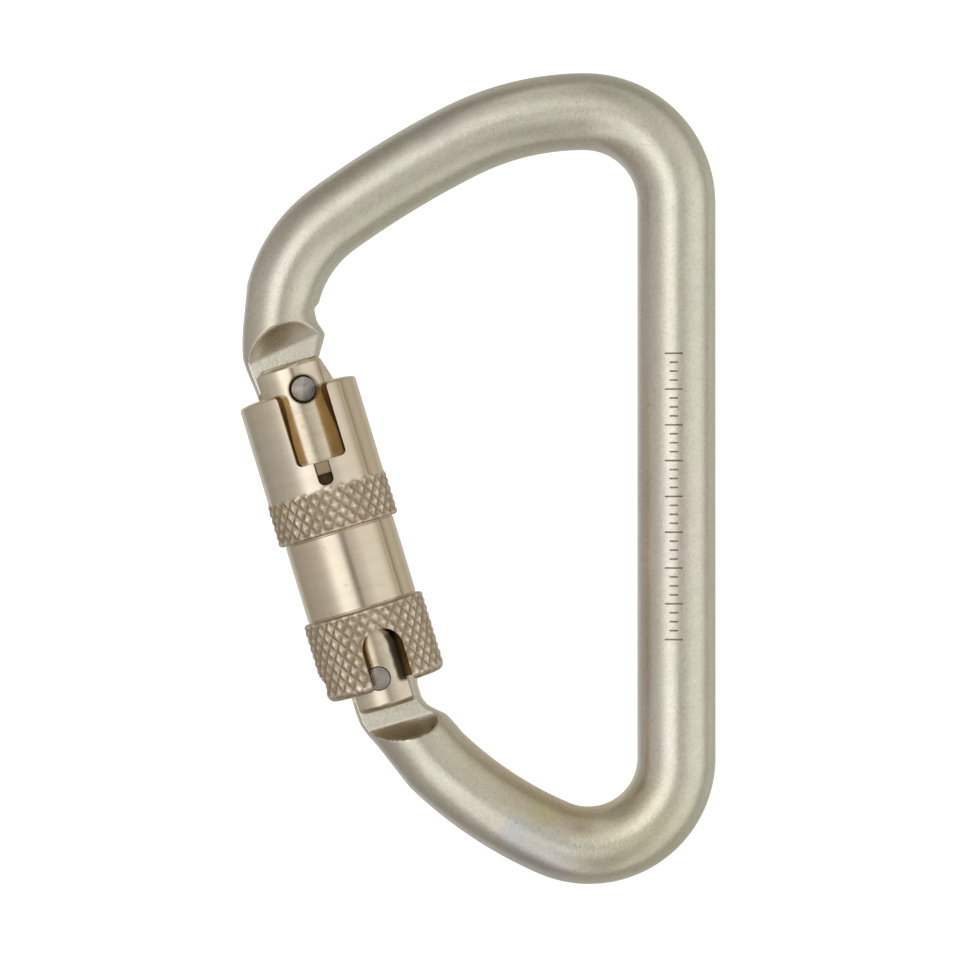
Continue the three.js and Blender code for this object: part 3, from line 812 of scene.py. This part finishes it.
# ---- Gate ------------------------------------------------------------------------------
def make_gate():
    top, foot, r = GATE_TOP, GATE_BOTTOM, GATE_R
    groove0, groove1, groove_r = RING_GROOVE
    profile = [(0, foot), (r - 0.8, foot), (r - 0.05, foot + 0.72), (r, foot + 0.85),
               (r, groove0), (groove_r, groove0),
               (groove_r, groove1), (r, groove1), (r, top - 0.8), (r - 0.06, top - 0.66),
               (r - 0.7, top), (0, top)]
    gate = lathe("steel_gate", profile, 160)
    bevel = [(4.6, 50.4), (4.9, 49.4), (5.98, 45.8), (9, 45.8), (9, 50.4)]
    cuts = [block(-12, FORK_WALL, -FORK_HALF, FORK_HALF, FORK_FLOOR, 62),
            block(-12, 12, -FORK_HALF, FORK_HALF, -17, FORK_TOP),
            block(-12, FOOT_SIDES[0], -12, 12, -17, 3),
            block(FOOT_SIDES[1], 12, -12, 12, -17, -1),
            plate("bevel", bevel, -12, 12),
            lathe("bore", [(0, FORK_TOP - 1), (BORE_R, FORK_TOP - 1), (BORE_R, BORE_TOP),
                           (0, BORE_TOP)], 48),
            drill(NOSE_HOLE, NOSE_PIN, -12, 12), drill(HINGE_HOLE, HINGE, -12, 12)]
    for side in (-1, 1):
        sink = [(0, side * 4.9), (1.95, side * 4.9), (2.15, side * 5.4), (2.3, side * 8),
                (0, side * 8)]
        cuts.append(lathe("sink", sink, 64, "y", NOSE_PIN))
        cuts.append(drill(HINGE_HEAD + 0.06, HINGE, *sorted((side * 4.5, side * 12))))
    boolean(gate, cuts, "DIFFERENCE")
    break_edges(gate, 0.12)
    finish_piece(gate, "gate", FINISH["gate"], ["gate"])
    round_normals(gate, r)


make_gate()


# ---- Rivets ----------------------------------------------------------------------------
def make_rivet(name, half_profile, centre, node):
    """A rivet with two like heads, from one head's (radius, distance from the middle)."""
    near = [(r, -y) for r, y in half_profile]
    far = list(reversed(half_profile))
    rivet = lathe(name, near + far, 72, "y", centre)
    finish_piece(rivet, "gate", FINISH[node], [node], 30)


make_rivet("pointed_rivet",
           [(0, 6.5), (0.1, 6.47), (0.3, 6.38), (1.0, 6.05), (NOSE_HEAD - 0.25, 5.71),
            (NOSE_HEAD - 0.06, 5.58), (NOSE_HEAD, 5.4), (NOSE_HEAD, 5.2), (1.25, 4.35)],
           NOSE_PIN, "nose_rivet")
make_rivet("flush_rivet",
           [(0, 6.1), (0.5, 6.1), (1.2, 6.06), (HINGE_HEAD - 0.25, 5.98),
            (HINGE_HEAD - 0.06, 5.9), (HINGE_HEAD, 5.74), (HINGE_HEAD, 4.8), (1.5, 4.8)],
           HINGE, "hinge_rivet")


# ---- Locking sleeve --------------------------------------------------------------------
def sleeve_profile():
    """(radius, z, knurl strength) from the foot's bore edge, up the outside, down the bore."""
    outside = [(7.75, SLEEVE_FOOT, 0)]
    outside += [(r, z, 0.3) for r, z in arc(8.3, -0.4, 1.25, -90, -10, 7)]
    rows = round((10.1 + 0.25) / 0.2)
    outside += [(KNURL_CREST, -0.25 + 0.2 * i, 1) for i in range(rows + 1)]
    outside += [(r, z, 0.5) for r, z in arc(8.9, 10.16, 0.64, 5, 78, 4)]
    outside += [(8.72, 10.84, 0), (8.5, 10.9, 0), (8.5, 11.0, 0), (WAIST_R, 11.12, 0),
                (WAIST_R, 22.95, 0), (8.48, 23.1, 0), (8.48, 23.2, 0), (8.9, 23.24, 0)]
    outside += [(r, z, 0.5) for r, z in arc(9.0, 23.78, 0.54, -78, -5, 4)]
    rows = round((29.35 - 23.95) / 0.2)
    outside += [(KNURL_CREST, 23.95 + 0.2 * i, 1) for i in range(rows + 1)]
    outside += [(9.5, 29.55, 0.8), (9.42, 29.75, 0.55), (9.34, 29.95, 0.3), (9.27, 30.2, 0),
                (SLEEVE_R, 30.5, 0), (SLEEVE_R, 37, 0), (SLEEVE_R, 44.5, 0)]
    outside += [(r, z, 0) for r, z in arc(SLEEVE_R - 0.5, 44.95, 0.5, 8, 75, 5)]
    outside += [(8.3, 45.55, 0), (7.9, 45.64, 0)]
    inside = [(7.2, RIM, 0), (6.95, RIM - 0.1, 0), (HEAD_BORE, RIM - 0.3, 0),
              (HEAD_BORE, 43.3, 0), (UPPER_BORE, 38.0, 0), (UPPER_BORE, 34.25, 0),
              (SLEEVE_BORE, 34.2, 0), (SLEEVE_BORE, RIB[1], 0), (RIB[2], RIB[1], 0),
              (RIB[2], RIB[0], 0),
              (SLEEVE_BORE, RIB[0], 0), (SLEEVE_BORE, -1.3, 0), (7.45, -1.55, 0)]
    return outside + inside


def sleeve_blank(columns=360):
    """Closed surface through the profile. The knurl's V grooves run along the diagonals of
    its quads, and each quad is split along its groove."""
    profile = sleeve_profile()
    uneven = np.random.default_rng(7).random(9973)
    points = []
    for radius, z, strength in profile:
        for c in range(columns):
            p, q = knurl_place(c, z, columns)
            tooth = min(groove_distance(p), groove_distance(q)) * 2
            r = radius - KNURL_DEPTH * strength * (1 - min(0.92, tooth) / 0.92)
            r += 0.03 * strength * (uneven[len(points) % len(uneven)] - 0.5)
            a = 2 * math.pi * c / columns
            points.append((r * math.cos(a), r * math.sin(a), z))
    faces = []
    for row, (radius, z, strength) in enumerate(profile):
        following = (row + 1) % len(profile)
        middle = (z + profile[following][1]) / 2
        for c in range(columns):
            d = (c + 1) % columns
            quad = (row * columns + c, row * columns + d, following * columns + d,
                    following * columns + c)
            if not strength:
                faces.append(quad)
                continue
            p, q = knurl_place(c + 0.5, middle, columns)
            if groove_distance(p) < groove_distance(q):
                faces += [(quad[0], quad[1], quad[3]), (quad[1], quad[2], quad[3])]
            else:
                faces += [(quad[0], quad[1], quad[2]), (quad[0], quad[2], quad[3])]
    return new_mesh("knurled_sleeve", points, faces, GATE)


def knurl_place(column, z, columns):
    around = column * KNURL_COUNT / columns
    up = (z + 0.25) / KNURL_CELL
    return around + up, around - up


def groove_distance(value):
    return abs(value - round(value))


def slot_cutter(edge, open_up, place):
    """A cutter from a slot's edge (s, z) to past the sleeve's rim or foot; place gives a
    point from s, the depth (0 or 1) and z."""
    points, faces = [], []
    for s, z in edge:
        low, high = (z, 60) if open_up else (-12, z)
        points += [place(s, 0, low), place(s, 1, low), place(s, 1, high), place(s, 0, high)]
    for i in range(len(edge) - 1):
        a, b = 4 * i, 4 * i + 4
        for k in range(4):
            j = (k + 1) % 4
            faces.append((a + k, a + j, b + j, b + k))
    end = 4 * (len(edge) - 1)
    faces += [(0, 1, 2, 3), (end, end + 1, end + 2, end + 3)]
    return new_mesh("cutter", points, faces, GATE)


def slot_edge(width, near, far, corner_r, mouth_r, open_up):
    """Heights of a slot's closed end across its width, with rounded corners there and at
    its mouth, as (s, z). near is the closed end's height, far the mouth's."""
    way = 1 if open_up else -1
    side = [(-mouth_r + mouth_r * math.sin(math.radians(15 * i)),
             far - way * (mouth_r - mouth_r * math.cos(math.radians(15 * i))))
            for i in range(7)] if mouth_r else []
    side += [(1e-4 + corner_r * (1 - math.cos(math.radians(9 * i))),
              near + way * corner_r * (1 - math.sin(math.radians(9 * i)))) for i in range(11)]
    return side + [(width - s, z) for s, z in reversed(side)]


def front_slot(x0, x1, near, far, corner_r, mouth_r, open_up):
    edge = slot_edge(x1 - x0, near, far, corner_r, mouth_r, open_up)
    return slot_cutter(edge, open_up, lambda s, depth, z: (x0 + s, -14 + 14 * depth, z))


def round_slot(start, end, near, far, corner_r, mouth_r, open_up):
    """A slot between two directions, in degrees from the front round by the outer side."""
    width = math.radians(end - start) * SLEEVE_R
    edge = slot_edge(width, near, far, corner_r, mouth_r, open_up)
    half = len(edge) // 2
    middle = [(s, edge[half][1]) for s in
              np.arange(corner_r + 0.3, width - corner_r - 0.2, 0.35)]
    edge = edge[:half] + middle + edge[half:]

    def place(s, depth, z):
        a = math.radians(start) + s / SLEEVE_R
        r = 4 + 8 * depth
        return -r * math.sin(a), -r * math.cos(a), z

    return slot_cutter(edge, open_up, place)


def make_sleeve():
    sleeve = sleeve_blank()
    cuts = [front_slot(*WINDOW, RIM, 0.85, 1.25, True),
            front_slot(*KEY_SLOT, 40, 0.98, 0, True),
            front_slot(*FOOT_SLOT, SLEEVE_FOOT, 3.14, 0.5, False),
            round_slot(*RELEASE, RIM, 1.0, 1.2, True),
            round_slot(*FOOT_RELIEF, SLEEVE_FOOT, 0.8, 0.6, False)]
    boolean(sleeve, cuts, "DIFFERENCE")
    finish_piece(sleeve, "sleeve", FINISH["sleeve"], ["locking_sleeve"], 24)
    for radius in (SLEEVE_R, WAIST_R):
        round_normals(sleeve, radius)
    sleeve.data.materials.append(FINISH["bore"])
    for face in sleeve.data.polygons:
        out = Vector((face.center.x, face.center.y, 0)).normalized()
        if face.normal.dot(out) < 0.3 and abs(face.normal.z) < 0.6:
            face.material_index = 1


make_sleeve()


# ---- Bush, ring, springs and plunger ---------------------------------------------------
def make_bush():
    """Collar between the gate and the sleeve, near black as painted shade, with a key in the
    sleeve's slot.
    """
    collar = band("brass_bush", *COLLAR)
    break_edges(collar, 0.1, 50)
    finish_piece(collar, "sleeve", FINISH["collar"], ["spring_bush"])
    x0, x1, z0, z1 = KEY
    key = plate("brass_key", [(x0, z0), (x1, z0), (x1, z1), (x0, z1)], -8.85, -6.9, 0.12)
    finish_piece(key, "sleeve", FINISH["bush"], ["spring_bush"])


def make_ring():
    """Split ring in the gate's groove."""
    ring = band("split_ring", *RING)
    boolean(ring, [block(-1, 1, 4, 9, 8, 12)], "DIFFERENCE")
    break_edges(ring, 0.15, 50)
    finish_piece(ring, "gate", FINISH["spring"], ["retaining_ring"])


def make_spring(name, radius, wire, z0, z1, turns):
    """A helical spring of round wire, from z0 to z1."""
    steps, sides = int(turns * 32), 12
    points = []
    for i in range(steps + 1):
        t = i / steps
        a = 2 * math.pi * turns * t
        z = z0 + (z1 - z0) * t
        out = Vector((math.cos(a), math.sin(a), 0))
        along = Vector((-math.sin(a), math.cos(a), (z1 - z0) / (2 * math.pi * turns * radius)))
        across = out.cross(along.normalized())
        for k in range(sides):
            b = 2 * math.pi * k / sides
            p = out * (radius + wire / 2 * math.cos(b)) + across * (wire / 2 * math.sin(b))
            points.append((p.x, p.y, p.z + z))
    faces = grid_faces(steps + 1, sides)
    faces += [tuple(range(sides)), tuple(steps * sides + k for k in range(sides))]
    spring = new_mesh("wire_" + name, points, faces, GATE)
    finish_piece(spring, "gate", FINISH["spring"], [name])
    return spring


def shorten_with_plunger(spring, z0, z1):
    """Gives the gate's spring a mesh of its own; its length is left as it is."""
    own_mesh(spring)


def make_plunger():
    profile = [(0, 5.1), (0.35, 5.12), (0.75, 5.22), (1.1, 5.45), (1.4, 5.8), (1.62, 6.25),
               (1.76, 6.7), (1.8, 7.2), (1.8, 13.8), (1.6, 14), (0, 14)]
    plunger = lathe("round_plunger", profile, 64)
    finish_piece(plunger, "plunger", FINISH["spring"], ["gate_plunger"])


make_bush()
make_ring()
make_plunger()
springs = {name: make_spring(name, *sizes) for name, sizes in SPRINGS.items()}
shorten_with_plunger(springs["gate_spring"], *SPRINGS["gate_spring"][2:4])


# ---- Studio ----------------------------------------------------------------------------
# Brightness of the surroundings by direction: (degrees round from the camera's side, towards
# the spine, brightness) and (degrees up, brightness)
AROUND = [(-180, 0.55), (-150, 0.62), (-128, 0.38), (-88, 0.47), (-63, 0.55), (-50, 0.66),
          (-42, 0.88), (-35, 1.13), (-29, 1.32), (-17, 1.31), (-9, 1.22), (-1, 0.92), (9, 0.68),
          (20, 0.63), (29, 0.73), (40, 0.88), (70, 0.92), (80, 0.80), (90, 0.47), (98, 0.39),
          (107, 0.55), (118, 0.58), (135, 0.48), (150, 0.56), (180, 0.55)]
UPWARDS = [(-90, 0.64), (-55, 0.78), (-31, 0.9), (-12, 1.0), (8, 1.0), (27, 0.80),
           (55, 0.55), (90, 0.55)]
# Places darker or brighter than that: (degrees round, degrees up, half width, half height,
# share of the light)
SPOTS = [(5, 0, 6.5, 10, 0.3), (0, -55, 26, 42, 0.76), (0, -41, 16, 12, 0.8),
         (-30, 42, 18, 16, 0.64), (-20, -28, 14, 12, 0.87), (-150, 50, 50, 30, 1.35),
         (150, 50, 50, 30, 1.3)]
# Colour of the light where it is dim, and where it is bright
DIM_LIGHT, BRIGHT_LIGHT = (1.0, 0.955, 0.87), (1.0, 1.0, 1.0)


def studio_world():
    world = bpy.data.worlds.new("studio")
    bpy.context.scene.world = world
    world.use_nodes = True
    nodes, links = world.node_tree.nodes, world.node_tree.links
    nodes.clear()

    def calc(operation, a, b=0.0):
        return math_node(world.node_tree, operation, a, b)

    def table(value, low, high, stops, top):
        """Brightness from a table of (degrees, brightness), as a colour ramp up to top."""
        ramp = nodes.new("ShaderNodeValToRGB")
        links.new(calc("DIVIDE", calc("SUBTRACT", value, low), high - low), ramp.inputs["Fac"])
        ramp.color_ramp.interpolation = "EASE"
        while len(ramp.color_ramp.elements) < len(stops):
            ramp.color_ramp.elements.new(0.5)
        for element, (angle, bright) in zip(ramp.color_ramp.elements, stops):
            element.position = (angle - low) / (high - low)
            element.color = (bright / top,) * 3 + (1,)
        return calc("MULTIPLY", ramp.outputs["Color"], top)

    direction = nodes.new("ShaderNodeSeparateXYZ")
    links.new(nodes.new("ShaderNodeTexCoord").outputs["Generated"], direction.inputs["Vector"])
    x, y, z = (direction.outputs[k] for k in "XYZ")
    degrees = 180 / math.pi
    around = calc("MULTIPLY", calc("ARCTAN2", x, calc("MULTIPLY", y, -1.0)), degrees)
    up = calc("MULTIPLY", calc("ARCSINE", z), degrees)
    light = calc("MULTIPLY", table(around, -180, 180, AROUND, 1.5), table(up, -90, 90, UPWARDS, 1))
    for cx, cz, wide, high, left in SPOTS:
        u = calc("DIVIDE", calc("SUBTRACT", around, cx), wide)
        v = calc("DIVIDE", calc("SUBTRACT", up, cz), high)
        far = calc("ADD", calc("MULTIPLY", u, u), calc("MULTIPLY", v, v))
        spot = calc("POWER", math.e, calc("MULTIPLY", far, -1.0))
        light = calc("MULTIPLY", light, calc("SUBTRACT", 1.0, calc("MULTIPLY", spot, 1 - left)))
    tint = nodes.new("ShaderNodeValToRGB")
    links.new(calc("DIVIDE", light, 1.5), tint.inputs["Fac"])
    for element, place, colour in zip(tint.color_ramp.elements, (0.25, 0.75),
                                      (DIM_LIGHT, BRIGHT_LIGHT)):
        element.position = place
        element.color = (*colour, 1)
    tinted = nodes.new("ShaderNodeVectorMath")
    tinted.operation = "SCALE"
    links.new(tint.outputs["Color"], tinted.inputs["Vector"])
    links.new(light, tinted.inputs["Scale"])
    shown = nodes.new("ShaderNodeBackground")
    links.new(tinted.outputs["Vector"], shown.inputs["Color"])
    white = nodes.new("ShaderNodeBackground")
    white.inputs["Color"].default_value = (1, 1, 1, 1)
    white.inputs["Strength"].default_value = 1.2
    path = nodes.new("ShaderNodeLightPath")
    either = calc("MAXIMUM", path.outputs["Is Camera Ray"], path.outputs["Is Diffuse Ray"])
    mix = nodes.new("ShaderNodeMixShader")
    links.new(either, mix.inputs["Fac"])
    links.new(shown.outputs["Background"], mix.inputs[1])
    links.new(white.outputs["Background"], mix.inputs[2])
    links.new(mix.outputs["Shader"], nodes.new("ShaderNodeOutputWorld").inputs["Surface"])


def studio_floor():
    low = min(CAD_BOX[0][2], CAD_BOX[1][2]) / MM
    size, level = 6000, low - 60
    points = [(-size, -size, level), (size, -size, level), (size, size, level),
              (-size, size, level)]
    floor = new_mesh("floor", points, [(0, 1, 2, 3)])
    p = Paint("floor_finish")
    shade = p.ramp(p.noise(3, 2.0), [(0.3, (0.97, 0.97, 0.97)), (0.7, (0.985, 0.985, 0.985))])
    floor.data.materials.append(p.done(shade, p.span(p.noise(5, 2.0), 0, 1, 0.9, 1.0), 0.0))
    p.shader.inputs["Specular IOR Level"].default_value = 0.0
    floor.visible_glossy = False


def studio_camera():
    data = bpy.data.cameras.new("camera")
    data.sensor_width = 36
    data.lens = 122.4
    data.clip_start = 0.01
    camera = bpy.data.objects.new("camera", data)
    bpy.context.scene.collection.objects.link(camera)
    camera.location = (-0.01723, -0.5, -0.05046)
    camera.rotation_euler = (math.radians(90), 0, 0)
    bpy.context.scene.camera = camera
    bpy.context.scene.view_settings.view_transform = "Standard"


studio_world()
studio_floor()
studio_camera()
